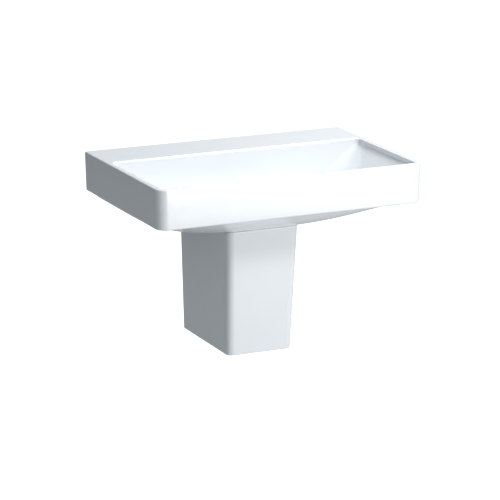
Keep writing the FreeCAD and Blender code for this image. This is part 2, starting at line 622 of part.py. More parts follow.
def make_trap_dip_tube():
    """The flanged tube that carries water from the waste down into the cup."""
    flange = cylinder(WASTE_THREAD_RADIUS - SEAL_INSET, DIP_FLANGE, on_waste(DIP_FLANGE_TOP - DIP_FLANGE))
    tube = cylinder(PIPE_RADIUS, DIP_FLANGE_TOP - DIP_BOTTOM, on_waste(DIP_BOTTOM))
    bore = cylinder(PIPE_RADIUS - PIPE_WALL, DIP_FLANGE_TOP - DIP_BOTTOM, on_waste(DIP_BOTTOM))
    return flange.fuse(tube).cut(bore)


def make_trap_top_seal():
    """A tapered ring squeezed between the dip tube, the trap's neck and the nut."""
    base = on_waste(TRAP_TOP)
    cone = Part.makeCone(TRAP_NECK_RADIUS - SEAL_INSET, PIPE_RADIUS + SEAL_LIP, TOP_SEAL_HEIGHT, base)
    return cone.cut(cylinder(PIPE_RADIUS, TOP_SEAL_HEIGHT, base))


def make_trap_top_nut():
    """The nut over the trap's neck, its lip above the tapered seal."""
    top = TRAP_TOP + TOP_SEAL_HEIGHT + NUT_LIP
    return fluted_nut(TRAP_NECK_RADIUS + NUT_WALL, TRAP_NUT_HEIGHT, on_waste(top), DOWN,
                      TRAP_NECK_RADIUS, PIPE_RADIUS + NUT_LIP_CLEARANCE, NUT_LIP)


def make_trap_body():
    """The upper half of the bottle: a neck, a round chamber and a side outlet, open at the bottom."""
    shoulder = TRAP_TOP - TRAP_NECK_HEIGHT
    chamber_height = shoulder - TRAP_BODY_BOTTOM
    spout_length = TRAP_BODY_RADIUS + TRAP_OUTLET_LENGTH
    outer = cylinder(TRAP_NECK_RADIUS, TRAP_NECK_HEIGHT, on_waste(shoulder))
    chamber = cylinder(TRAP_BODY_RADIUS, chamber_height, on_waste(TRAP_BODY_BOTTOM))
    outer = outer.fuse(chamber.makeFillet(SHOULDER_ROUND, edges_at_height(chamber, shoulder)))
    outer = outer.fuse(cylinder(SPOUT_RADIUS, spout_length, on_waste(TRAP_OUTLET_Z), INTO_WALL))

    neck_depth = 2.0 * TRAP_WALL
    neck_bore = cylinder(PIPE_RADIUS + THREAD_CLEARANCE, TRAP_NECK_HEIGHT + neck_depth,
                         on_waste(shoulder - neck_depth))
    inside = cylinder(TRAP_BODY_RADIUS - TRAP_WALL, chamber_height - TRAP_WALL, on_waste(TRAP_BODY_BOTTOM))
    spout_bore = cylinder(PIPE_RADIUS, spout_length, on_waste(TRAP_OUTLET_Z), INTO_WALL)
    near_dip_tube = cylinder(TRAP_BODY_RADIUS - 2.0 * TRAP_WALL, 4.0 * PIPE_RADIUS,
                             on_waste(TRAP_OUTLET_Z - 2.0 * PIPE_RADIUS))
    return outer.cut(neck_bore).cut(inside).cut(spout_bore.cut(near_dip_tube))


def make_trap_cup_seal():
    outer = CUP_RADIUS - TRAP_WALL - THREAD_CLEARANCE
    base = on_waste(TRAP_BODY_BOTTOM - SEAL_THICKNESS)
    return ring(outer, TRAP_BODY_RADIUS - TRAP_WALL, SEAL_THICKNESS, base)


def make_trap_cup():
    """The lower half of the bottle, which screws off for cleaning, with grip ribs round its rim."""
    top = TRAP_BODY_BOTTOM + CUP_OVERLAP
    bottom = top - CUP_HEIGHT
    cup = cylinder(CUP_RADIUS, CUP_HEIGHT, on_waste(bottom))
    cup = cup.makeFillet(CUP_ROUND, edges_at_height(cup, bottom))
    for index in range(CUP_RIBS):
        angle = 2.0 * math.pi * index / CUP_RIBS
        place = on_waste(top - CUP_RIB_TOP - CUP_RIB_LENGTH)
        place += Vector(CUP_RADIUS * math.cos(angle), CUP_RADIUS * math.sin(angle), 0)
        cup = cup.fuse(cylinder(CUP_GRIP, CUP_RIB_LENGTH, place))
    thread = cylinder(TRAP_BODY_RADIUS + THREAD_CLEARANCE, CUP_OVERLAP + SEAL_THICKNESS,
                      on_waste(TRAP_BODY_BOTTOM - SEAL_THICKNESS))
    well_floor = bottom + TRAP_WALL
    well = cylinder(TRAP_BODY_RADIUS - TRAP_WALL, CUP_HEIGHT, on_waste(well_floor))
    well = well.makeFillet(CUP_ROUND - TRAP_WALL, edges_at_height(well, well_floor))
    return cup.cut(thread).cut(well)


def make_outlet_pipe():
    """The straight pipe from the trap's side outlet into the wall, with a groove at its insertion mark."""
    start = TRAP_OUTLET_END - PIPE_OVERLAP
    length = OUTLET_INTO_WALL - start
    base = Vector(0, start, TRAP_OUTLET_Z)
    pipe = cylinder(PIPE_RADIUS - SLIDE_CLEARANCE, length, base, INTO_WALL)
    pipe = pipe.cut(cylinder(PIPE_RADIUS - PIPE_WALL, length, base, INTO_WALL))
    mark = Vector(0, 0, TRAP_OUTLET_Z)
    return pipe.cut(ring(PIPE_RADIUS + 1.0, PIPE_RADIUS - GROOVE_DEPTH, GROOVE_WIDTH, mark, OUT_OF_WALL))


def make_trap_outlet_seal():
    """A tapered ring between the pipe, the spout's mouth and the outlet nut."""
    base = Vector(0, TRAP_OUTLET_END, TRAP_OUTLET_Z)
    wide = SPOUT_RADIUS - SEAL_INSET
    cone = Part.makeCone(wide, PIPE_RADIUS + SEAL_LIP, OUTLET_SEAL_HEIGHT, base, INTO_WALL)
    return cone.cut(cylinder(PIPE_RADIUS, OUTLET_SEAL_HEIGHT, base, INTO_WALL))


def make_trap_outlet_nut():
    base = Vector(0, TRAP_OUTLET_END + OUTLET_SEAL_HEIGHT + NUT_LIP, TRAP_OUTLET_Z)
    return fluted_nut(SPOUT_RADIUS + NUT_WALL, TRAP_NUT_HEIGHT, base, OUT_OF_WALL,
                      SPOUT_RADIUS, PIPE_RADIUS + NUT_LIP_CLEARANCE, NUT_LIP)


def make_wall_escutcheon():
    """A thin dished disc that slides on the pipe and covers its hole in the wall."""
    sheet = ESCUTCHEON_SHEET
    neck = PIPE_RADIUS + SLIDE_CLEARANCE
    brow = ESCUTCHEON_DEPTH / 2.0
    profile = [
        (neck, ESCUTCHEON_DEPTH),
        (neck + sheet, ESCUTCHEON_DEPTH),
        (neck + 5.0 * sheet, brow),
        (ESCUTCHEON_RADIUS, 0.0),
        (ESCUTCHEON_RADIUS - 3.0 * sheet, 0.0),
        (neck + 4.0 * sheet, brow - sheet),
        (neck, brow),
    ]
    points = [Vector(radius, -depth, 0) for radius, depth in profile]
    face = Part.Face(Part.makePolygon(points + points[:1]))
    dish = face.revolve(Vector(0, 0, 0), INTO_WALL, 360)
    dish.translate(Vector(0, 0, TRAP_OUTLET_Z))
    return dish


# ---- the whole object ----
def all_nodes():
    nodes = {"basin": make_basin(), "half_pedestal": make_half_pedestal()}
    nodes.update(make_fixing_set(
        "basin", BASIN_BOLT_SPACING, 0.0, BASIN_BOLT_RADIUS, BASIN_BOLT_IN_WALL,
        BASIN_HOLE_RADIUS, BACK_PANEL,
        BASIN_WASHER_RADIUS, BASIN_NUT_FLATS, BASIN_NUT_HEIGHT))
    nodes.update(make_fixing_set(
        "pedestal", PEDESTAL_BOLT_SPACING, LUG_CENTRE_Z, PEDESTAL_BOLT_RADIUS, PEDESTAL_BOLT_IN_WALL,
        PEDESTAL_HOLE_RADIUS, LUG_THICKNESS,
        PEDESTAL_WASHER_RADIUS, PEDESTAL_NUT_FLATS, PEDESTAL_NUT_HEIGHT))
    makers = [
        make_waste_body, make_flange_seal, make_plug_cap, make_plug_stem, make_plug_seal,
        make_plug_cartridge, make_waste_gasket, make_waste_clamp_washer, make_waste_back_nut,
        make_trap_inlet_nut, make_trap_inlet_seal, make_trap_dip_tube, make_trap_top_nut,
        make_trap_top_seal, make_trap_body, make_trap_cup_seal, make_trap_cup, make_trap_outlet_nut,
        make_trap_outlet_seal, make_outlet_pipe, make_wall_escutcheon,
    ]
    for maker in makers:
        nodes[maker.__name__[len("make_"):]] = maker()
    return nodes


def main():
    os.makedirs("parts", exist_ok=True)
    for name, shape in all_nodes().items():
        if not shape.isValid():
            print("not valid:", name)
        shape.exportStep("parts/" + name + ".step")
        print(name, len(shape.Solids), round(shape.Volume / 1000.0, 1))


main()
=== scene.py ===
import math

import bmesh
import bpy
from mathutils import Matrix, Vector


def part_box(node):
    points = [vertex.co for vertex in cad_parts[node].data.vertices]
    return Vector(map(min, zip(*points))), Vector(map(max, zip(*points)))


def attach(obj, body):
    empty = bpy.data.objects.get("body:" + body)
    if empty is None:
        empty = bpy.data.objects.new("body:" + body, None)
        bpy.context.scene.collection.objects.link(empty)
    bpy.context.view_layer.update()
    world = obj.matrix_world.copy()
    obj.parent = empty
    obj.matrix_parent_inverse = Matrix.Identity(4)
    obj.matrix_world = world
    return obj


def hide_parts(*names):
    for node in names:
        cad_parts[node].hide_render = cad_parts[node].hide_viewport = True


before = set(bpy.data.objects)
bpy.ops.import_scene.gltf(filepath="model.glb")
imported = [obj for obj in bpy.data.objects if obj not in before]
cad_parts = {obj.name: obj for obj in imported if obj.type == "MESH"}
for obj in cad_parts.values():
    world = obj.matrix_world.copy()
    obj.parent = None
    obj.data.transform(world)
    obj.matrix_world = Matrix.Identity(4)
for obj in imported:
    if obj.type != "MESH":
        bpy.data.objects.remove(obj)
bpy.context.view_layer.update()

MM = 0.001

# ---- sizes of the two ceramics, in millimetres, z counted from the fixing bolts ----
RIM_HEIGHT = 90.0
APRON_HEIGHT = 99.0
HALF_WIDTH = 349.84
DEPTH = 464.87
SIDE_TAPER = 2.7
FRONT_TAPER = 2.2
FRONT_CORNER = 26.0
CORNER_TIGHTENING = 0.6           # how fast the front corner tightens as its outline is set in
REAR_CORNER = 0.8
TOP_ROUND = 5.0
BOTTOM_ROUND = 4.0
RIM_ROUND = 4.0
DECK_DEPTH = 140.0
RIM_WIDTH = 15.0
BOWL_DEPTH = 118.0
LIP_DROP = 14.0
LIP_LEAN = 3.0
SIDE_SLOPE = 1.02
REAR_SLOPE = 0.22
FRONT_SLOPE = 0.75
BOWL_CORNER_TOP = 12.0
BOWL_CORNER_FLOOR = 56.0
FOOT_HEIGHT = 30.0
FOOT_REACH = 22.0
BELLY_DEPTH = 77.0
BELLY_MARGIN = 9.0
BELLY_RISE = 0.56
BELLY_FULLNESS = 2.2
BELLY_FLANK = 3.0
BELLY_SHOULDER = 0.8
WASTE_Y = -225.0
DISH_RADIUS = 90.0
DISH_DROP = 3.0
DISH_INNER_SHARE = 0.42           # where the dish ends, as a share of its radius
SEAT_RADIUS = 34.0
SEAT_DROP = 3.5
SEAT_CHAMFER_WIDTH = 1.0
SEAT_CHAMFER_DEPTH = 0.8
HOLE_RADIUS = 23.0
BOSS_RADIUS = 42.0
BOSS_PAD = 2.0
BOSS_CHAMFER_WIDTH = 1.0
BOSS_CHAMFER_DEPTH = 0.6
BACK_PANEL = 14.0
DECK_THICKNESS = 14.0
REAR_SNAP = 0.5                   # past the belly margin, ring points this near the wall are laid on it
CERAMIC_WALL = 10.0
ACCESS_HALF_WIDTH = 190.0         # the opening from below, behind the bowl
ACCESS_TOP = 30.0
DECK_HOLLOW_HALF_WIDTH = 335.0    # the hollow under the deck, from side wall to side wall
DECK_HOLLOW_FRONT_WALL = 12.0
CUTTER_ROUND = 5.0
CUT_PAST = 10.0                   # how far a cut runs on past a face
OVERFLOW_DROP = 46.0
OVERFLOW_RADIUS = 11.0
OVERFLOW_ENDS = (-444.0, -400.0)  # one end inside the front wall, the other in the open bowl
BASIN_BOLT_X = 140.0
BASIN_BOLT_HOLE_RADIUS = 8.0
HOLE_RING_LIFT = 20.0             # height above the boss of the last ring inside the waste hole

PEDESTAL_BOTTOM = -396.0
PEDESTAL_TOP_HALF = 97.0          # half its width at the height of the apron's lower edge
PEDESTAL_BOTTOM_HALF = 87.0
PEDESTAL_TOP_DEPTH = 303.5
PEDESTAL_BOTTOM_DEPTH = 276.0
PEDESTAL_CORNER = 18.0
PEDESTAL_WALL = 11.0
PEDESTAL_GAP = 1.5                # joint between the pedestal and the basin
PEDESTAL_SOFT_EDGE = 2.4
PEDESTAL_TOP_GUIDE = -70.0        # height of the outline that the shell's upper edge is found from
LUG_INNER = 53.0
LUG_OUTER = 84.0
LUG_THICKNESS = 14.0
LUG_HEIGHT = 50.0
LUG_Z = -320.0
LUG_ROUND = 2.5
LUG_CUT_PAST = 6.0
PEDESTAL_BOLT_X = 66.0
PEDESTAL_BOLT_HOLE_RADIUS = 5.0

CAP_EDGE = 1.0                    # height of the plug cap's upright edge
CAP_CHAMFER_WIDTH = 1.2
CAP_CHAMFER_CORNER = 0.35
CAP_FULLNESS = 0.8

APRON_BOTTOM = RIM_HEIGHT - APRON_HEIGHT
BOWL_FLOOR = RIM_HEIGHT - BOWL_DEPTH
BOSS_BOTTOM = APRON_BOTTOM - BELLY_DEPTH - BOSS_PAD

# ---- how finely the ceramics are divided ----
CORNER_STEPS = 8
LONG_STEPS = 30
SHORT_STEPS = 20
UNDERSIDE_STEPS = 16
SLOPE_STEPS = 6
FOOT_STEPS = 6
FLOOR_STEPS = 8
PEDESTAL_SIDE_STEPS = 16
PEDESTAL_CORNER_STEPS = 10
PEDESTAL_FRONT_STEPS = 12
PEDESTAL_HEIGHT_STEPS = 28

# ---- angles over which an edge is drawn sharp, in degrees ----
CUT_CREASE = 32.0
CERAMIC_CREASE = 35.0
FITTING_CREASE = 30.0
CAP_CREASE = 40.0

# ---- which body and which finish the fittings have; those on no listed body stay with the basin ----
BODY_NODES = {
    "waste_plug": ["plug_cap", "plug_stem", "plug_seal"],
    "cup_travel": ["trap_cup_seal"],
    "trap_cup": ["trap_cup"],
    "escutcheon": ["wall_escutcheon"],
}
SLOT_NODES = {
    "zinc_steel": ["basin_hanger_bolts", "pedestal_hanger_bolts", "basin_fixing_washers",
                   "pedestal_fixing_washers", "basin_fixing_nuts", "pedestal_fixing_nuts"],
    "polished_chrome": ["wall_escutcheon"],
    "waste_brass": ["waste_body", "waste_back_nut", "plug_stem"],
    "black_rubber": ["flange_seal", "plug_seal", "waste_gasket", "trap_inlet_seal", "trap_top_seal",
                     "trap_cup_seal", "trap_outlet_seal"],
    "white_plastic": ["basin_bolt_sleeves", "pedestal_bolt_sleeves", "plug_cartridge", "waste_clamp_washer",
                      "trap_inlet_nut", "trap_dip_tube", "trap_top_nut", "trap_body", "trap_cup",
                      "trap_outlet_nut", "outlet_pipe"],
}

# ---- studio, in metres and watts ----
FLOOR_HEIGHT = -0.76
FLOOR_GLOW = 1.0
WORLD_SEEN = 1.1
WORLD_FILL = 0.335
WORLD_COLOUR = (0.86, 0.96, 1.0, 1.0)
LIGHTS = [
    # name, place, target, width, height, power
    ("key", (1.5, -3.0, 2.2), (0.0, -0.2, -0.1), 0.7, 0.7, 48.0),
    ("top", (1.3, -0.35, 2.4), (0.0, -0.25, 0.0), 1.8, 1.0, 92.0),
    ("front fill", (0.9, -3.2, -0.52), (0.0, -0.2, -0.1), 2.2, 0.4, 43.0),
]
CAMERA_AIM = (0.0068, -0.200, -0.1529)
CAMERA_TURN = 24.81
CAMERA_RISE = 14.66
CAMERA_DISTANCE = 6.652
CAMERA_LENS = 193.3


# ---- mesh helpers ----
def new_piece(name, bm, body, slot, replaced, crease):
    """Turns a bmesh in millimetres into a finished piece that rides on a body."""
    bmesh.ops.scale(bm, vec=(MM, MM, MM), verts=bm.verts)
    mesh = bpy.data.meshes.new(name)
    bm.to_mesh(mesh)
    bm.free()
    mesh.materials.append(FINISHES[slot])
    mesh.shade_smooth()
    mesh.set_sharp_from_angle(angle=math.radians(crease))
    piece = bpy.data.objects.new(name, mesh)
    bpy.context.scene.collection.objects.link(piece)
    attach(piece, body)
    if replaced:
        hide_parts(*replaced)
    return piece


def even_normals(piece):
    """Keeps flat faces flat to the eye between their rounded edges."""
    weighted = piece.modifiers.new("even normals", "WEIGHTED_NORMAL")
    weighted.keep_sharp = True
    weighted.weight = 80
    return piece


def ring_of(half, front, rear, front_corner, rear_corner, z):
    """Points round a rounded rectangle, with the same count on each side and corner whatever its size."""
    spans = [
        (Vector((half - front_corner, front + front_corner, z)), front_corner, -90),
        (Vector((half - rear_corner, rear - rear_corner, z)), rear_corner, 0),
        (Vector((-half + rear_corner, rear - rear_corner, z)), rear_corner, 90),
        (Vector((-half + front_corner, front + front_corner, z)), front_corner, 180),
    ]
    steps = [SHORT_STEPS, LONG_STEPS, SHORT_STEPS, LONG_STEPS]
    corners = []
    for centre, radius, start in spans:
        arc = []
        for step in range(CORNER_STEPS + 1):
            angle = math.radians(start + 90.0 * step / CORNER_STEPS)
            arc.append(centre + radius * Vector((math.cos(angle), math.sin(angle), 0.0)))
        corners.append(arc)
    points = []
    for index in range(4):
        begin = corners[index][-1]
        end = corners[(index + 1) % 4][0]
        points += corners[index][:-1]
        points += [begin.lerp(end, step / steps[index]) for step in range(steps[index])]
    return points


def circle_like(points, radius, z):
    """A ring round the waste whose points lie in the same directions as the given ring's."""
    ring = []
    for point in points:
        angle = math.atan2(point.y - WASTE_Y, point.x)
        ring.append(Vector((radius * math.cos(angle), WASTE_Y + radius * math.sin(angle), z)))
    return ring


def blend_rings(first, second, share):
    return [a.lerp(b, share) for a, b in zip(first, second)]


def loft(rings, closed):
    """A skin of quads through the rings: each ring is extruded from the one before and put in its place."""
    bm = bmesh.new()
    bmesh.ops.create_circle(bm, segments=len(rings[0]), radius=1.0)
    bm.verts.ensure_lookup_table()
    loop = list(bm.verts)
    first = loop
    for vert, place in zip(loop, rings[0]):
        vert.co = place
    for ring in rings[1:]:
        edges = [bm.edges.get((loop[i], loop[(i + 1) % len(loop)])) for i in range(len(loop))]
        extruded = bmesh.ops.extrude_edge_only(bm, edges=edges)["geom"]
        copies = {}
        for vert in [item for item in extruded if isinstance(item, bmesh.types.BMVert)]:
            for edge in vert.link_edges:
                other = edge.other_vert(vert)
                if other in loop:
                    copies[other] = vert
        loop = [copies[vert] for vert in loop]
        for vert, place in zip(loop, ring):
            vert.co = place
    if closed:
        ends = [bm.edges.get((loop[i], loop[(i + 1) % len(loop)])) for i in range(len(loop))]
        ends += [bm.edges.get((first[i], first[(i + 1) % len(first)])) for i in range(len(first))]
        bmesh.ops.bridge_loops(bm, edges=ends)
    return bm


def rounded_profile(radius, steps):
    """Offsets inward and downward along a quarter round, from the side to the top."""
    turns = [math.radians(90.0 * step / steps) for step in range(steps + 1)]
    return [(radius * (1.0 - math.cos(turn)), radius * (1.0 - math.sin(turn))) for turn in turns]


# ---- materials ----
def make_group(name, inputs, output, output_type):
    """An empty shader group with named number inputs and one output; returns its nodes, links and ends."""
    tree = bpy.data.node_groups.new(name, "ShaderNodeTree")
    for label, value in inputs:
        socket = tree.interface.new_socket(label, in_out="INPUT", socket_type="NodeSocketFloat")
        socket.default_value = value
    tree.interface.new_socket(output, in_out="OUTPUT", socket_type=output_type)
    return tree, tree.nodes.new("NodeGroupInput"), tree.nodes.new("NodeGroupOutput")


def noise_node(tree, scale, detail, roughness=0.5):
    noise = tree.nodes.new("ShaderNodeTexNoise")
    noise.inputs["Scale"].default_value = scale
    noise.inputs["Detail"].default_value = detail
    noise.inputs["Roughness"].default_value = roughness
    return noise


def cloud_group():
    """Soft cloudy variation between a low and a high value."""
    tree, ends_in, ends_out = make_group(
        "cloudy value", [("Scale", 20.0), ("Low", 0.1), ("High", 0.2)], "Value", "NodeSocketFloat")
    place = tree.nodes.new("ShaderNodeTexCoord")
    noise = noise_node(tree, 20.0, 3.0)
    spread = tree.nodes.new("ShaderNodeMapRange")
    spread.inputs["From Min"].default_value = 0.3
    spread.inputs["From Max"].default_value = 0.7
    tree.links.new(place.outputs["Object"], noise.inputs["Vector"])
    tree.links.new(ends_in.outputs["Scale"], noise.inputs["Scale"])
    tree.links.new(noise.outputs["Fac"], spread.inputs["Value"])
    tree.links.new(ends_in.outputs["Low"], spread.inputs["To Min"])
    tree.links.new(ends_in.outputs["High"], spread.inputs["To Max"])
    tree.links.new(spread.outputs["Result"], ends_out.inputs["Value"])
    return tree


CLOUD = cloud_group()


def cloudy(tree, scale, low, high):
    node = tree.nodes.new("ShaderNodeGroup")
    node.node_tree = CLOUD
    node.inputs["Scale"].default_value = scale
    node.inputs["Low"].default_value = low
    node.inputs["High"].default_value = high
    return node.outputs["Value"]


def new_material(name):
    material = bpy.data.materials.new(name)
    material.use_nodes = True
    tree = material.node_tree
    shader = tree.nodes["Principled BSDF"]
    return material, tree, shader


def two_tone(tree, factor, first, second):
    mix = tree.nodes.new("ShaderNodeMix")
    mix.data_type = "RGBA"
    tree.links.new(factor, mix.inputs["Factor"])
    mix.inputs["A"].default_value = (*first, 1.0)
    mix.inputs["B"].default_value = (*second, 1.0)
    return mix.outputs["Result"]


def bump_from(tree, height, strength, distance):
    bump = tree.nodes.new("ShaderNodeBump")
    bump.inputs["Strength"].default_value = strength
    bump.inputs["Distance"].default_value = distance
    tree.links.new(height, bump.inputs["Height"])
    return bump.outputs["Normal"]


def glazed_ceramic():
    """White glaze over fired clay. The faces that lie on the wall are bare clay."""
    material, tree, shader = new_material("white glaze")
    place = tree.nodes.new("ShaderNodeTexCoord")
    split = tree.nodes.new("ShaderNodeSeparateXYZ")
    tree.links.new(place.outputs["Object"], split.inputs["Vector"])
    bare = tree.nodes.new("ShaderNodeMapRange")
    bare.inputs["From Min"].default_value = -0.0016
    bare.inputs["From Max"].default_value = -0.0004
    tree.links.new(split.outputs["Y"], bare.inputs["Value"])
    glaze = two_tone(tree, cloudy(tree, 6.0, 0.0, 1.0), (0.775, 0.800, 0.830), (0.800, 0.820, 0.845))
    clay = two_tone(tree, cloudy(tree, 60.0, 0.0, 1.0), (0.60, 0.55, 0.47), (0.70, 0.65, 0.57))
    colour = tree.nodes.new("ShaderNodeMix")
    colour.data_type = "RGBA"
    tree.links.new(bare.outputs["Result"], colour.inputs["Factor"])
    tree.links.new(glaze, colour.inputs["A"])
    tree.links.new(clay, colour.inputs["B"])
    tree.links.new(colour.outputs["Result"], shader.inputs["Base Color"])
    rough = tree.nodes.new("ShaderNodeMix")
    tree.links.new(bare.outputs["Result"], rough.inputs["Factor"])
    tree.links.new(cloudy(tree, 35.0, 0.07, 0.13), rough.inputs["A"])
    tree.links.new(cloudy(tree, 90.0, 0.75, 0.92), rough.inputs["B"])
    tree.links.new(rough.outputs["Result"], shader.inputs["Roughness"])
    shine = tree.nodes.new("ShaderNodeMapRange")
    shine.inputs["To Min"].default_value = 0.6
    shine.inputs["To Max"].default_value = 0.0
    tree.links.new(bare.outputs["Result"], shine.inputs["Value"])
    tree.links.new(shine.outputs["Result"], shader.inputs["Coat Weight"])
    shader.inputs["Coat Roughness"].default_value = 0.04
    shader.inputs["IOR"].default_value = 1.52
    tree.links.new(bump_from(tree, cloudy(tree, 45.0, 0.0, 1.0), 0.12, 0.0006), shader.inputs["Normal"])
    return material


def chrome():
    """Polished plating with faint wiping marks."""
    material, tree, shader = new_material("polished chrome")
    tree.links.new(two_tone(tree, cloudy(tree, 40.0, 0.0, 1.0), (0.70, 0.71, 0.73), (0.80, 0.81, 0.82)),
                   shader.inputs["Base Color"])
    shader.inputs["Metallic"].default_value = 1.0
    tree.links.new(cloudy(tree, 120.0, 0.05, 0.12), shader.inputs["Roughness"])
    tree.links.new(bump_from(tree, cloudy(tree, 300.0, 0.0, 1.0), 0.05, 0.0001), shader.inputs["Normal"])
    return material


def turned_brass():
    """Machined brass, dulled in patches."""
    material, tree, shader = new_material("turned brass")
    tree.links.new(two_tone(tree, cloudy(tree, 55.0, 0.0, 1.0), (0.46, 0.32, 0.13), (0.70, 0.52, 0.25)),
                   shader.inputs["Base Color"])
    shader.inputs["Metallic"].default_value = 1.0
    tree.links.new(cloudy(tree, 150.0, 0.22, 0.42), shader.inputs["Roughness"])
    tree.links.new(bump_from(tree, cloudy(tree, 900.0, 0.0, 1.0), 0.15, 0.0001), shader.inputs["Normal"])
    return material


def zinc_steel():
    """Plated steel with a fine crystalline mottle."""
    material, tree, shader = new_material("zinc plated steel")
    grain = tree.nodes.new("ShaderNodeTexVoronoi")
    grain.inputs["Scale"].default_value = 700.0
    place = tree.nodes.new("ShaderNodeTexCoord")
    tree.links.new(place.outputs["Object"], grain.inputs["Vector"])
    tree.links.new(two_tone(tree, grain.outputs["Distance"], (0.62, 0.64, 0.66), (0.42, 0.44, 0.47)),
                   shader.inputs["Base Color"])
    shader.inputs["Metallic"].default_value = 1.0
    tree.links.new(cloudy(tree, 200.0, 0.28, 0.48), shader.inputs["Roughness"])
    return material


def plastic(name, light, dark, smooth, rough, grain):
    """Moulded plastic with a fine surface grain."""
    material, tree, shader = new_material(name)
    tree.links.new(two_tone(tree, cloudy(tree, 25.0, 0.0, 1.0), dark, light), shader.inputs["Base Color"])
    tree.links.new(cloudy(tree, 80.0, smooth, rough), shader.inputs["Roughness"])
    tree.links.new(bump_from(tree, cloudy(tree, grain, 0.0, 1.0), 0.2, 0.0002), shader.inputs["Normal"])
    return material


FINISHES = {
    "glazed_ceramic": glazed_ceramic(),
    "polished_chrome": chrome(),
    "waste_brass": turned_brass(),
    "zinc_steel": zinc_steel(),
    "white_plastic": plastic(
        "white moulded plastic", (0.80, 0.80, 0.78), (0.74, 0.74, 0.72), 0.28, 0.4, 900.0),
    "black_rubber": plastic(
        "black rubber", (0.030, 0.030, 0.031), (0.018, 0.018, 0.019), 0.62, 0.8, 1500.0),
}


# ---- basin ----
def belly_bottom(x, y):
    """Height of the rounded underside below a point of the plan."""
    half = HALF_WIDTH - SIDE_TAPER - BELLY_MARGIN
    front = -DEPTH + FRONT_TAPER + 2.0 * BELLY_MARGIN
    along = min(max((y - front) / -front, 0.0), 1.0)
    share = 1.0 - (1.0 - min(along / BELLY_RISE, 1.0)) ** BELLY_FULLNESS
    across = max(1.0 - abs(x / half) ** BELLY_FLANK, 0.0) ** BELLY_SHOULDER
    return APRON_BOTTOM - BELLY_DEPTH * share * across


def apron_ring(z, inset=0.0):
    lean = (RIM_HEIGHT - z) / APRON_HEIGHT
    return ring_of(
        HALF_WIDTH - SIDE_TAPER * lean - inset, -DEPTH + FRONT_TAPER * lean + inset, 0.0,
        FRONT_CORNER - inset * CORNER_TIGHTENING, REAR_CORNER, z)


def bowl_ring(drop, inset=0.0):
    """The bowl's outline at a depth below the rim. A negative inset opens it out, as at the rounded rim."""
    below_lip = max(drop - LIP_DROP, 0.0)
    lip = LIP_LEAN * min(drop / LIP_DROP, 1.0) + inset
    turn = max(drop - (BOWL_DEPTH - FOOT_HEIGHT), 0.0) / FOOT_HEIGHT
    foot = FOOT_REACH * (1.0 - math.sqrt(max(1.0 - turn * turn, 0.0)))
    corner = BOWL_CORNER_TOP + (BOWL_CORNER_FLOOR - BOWL_CORNER_TOP) * drop / BOWL_DEPTH - inset
    return ring_of(
        HALF_WIDTH - RIM_WIDTH - lip - SIDE_SLOPE * below_lip - foot,
        -DEPTH + RIM_WIDTH + lip + FRONT_SLOPE * below_lip + foot,
        -DECK_DEPTH - lip - REAR_SLOPE * below_lip - foot,
        corner, corner, RIM_HEIGHT - drop)


def underside_rings():
    """From the edge of the waste hole outwards to the apron's lower edge."""
    edge = apron_ring(APRON_BOTTOM, BELLY_MARGIN)
    for point in edge:
        if point.y > -BELLY_MARGIN - REAR_SNAP:
            point.y = 0.0
        point.z = belly_bottom(point.x, point.y)
    rings = [
        circle_like(edge, HOLE_RADIUS, BOSS_BOTTOM),
        circle_like(edge, BOSS_RADIUS - BOSS_CHAMFER_WIDTH, BOSS_BOTTOM),
        circle_like(edge, BOSS_RADIUS, BOSS_BOTTOM + BOSS_CHAMFER_DEPTH),
        circle_like(edge, BOSS_RADIUS, BOSS_BOTTOM + BOSS_PAD),
    ]
    for point in rings[-1]:
        point.z = belly_bottom(point.x, point.y)
    inner = rings[-1]
    for step in range(1, UNDERSIDE_STEPS + 1):
        ring = blend_rings(inner, edge, step / UNDERSIDE_STEPS)
        for point in ring:
            point.z = belly_bottom(point.x, point.y)
        rings.append(ring)
    return rings


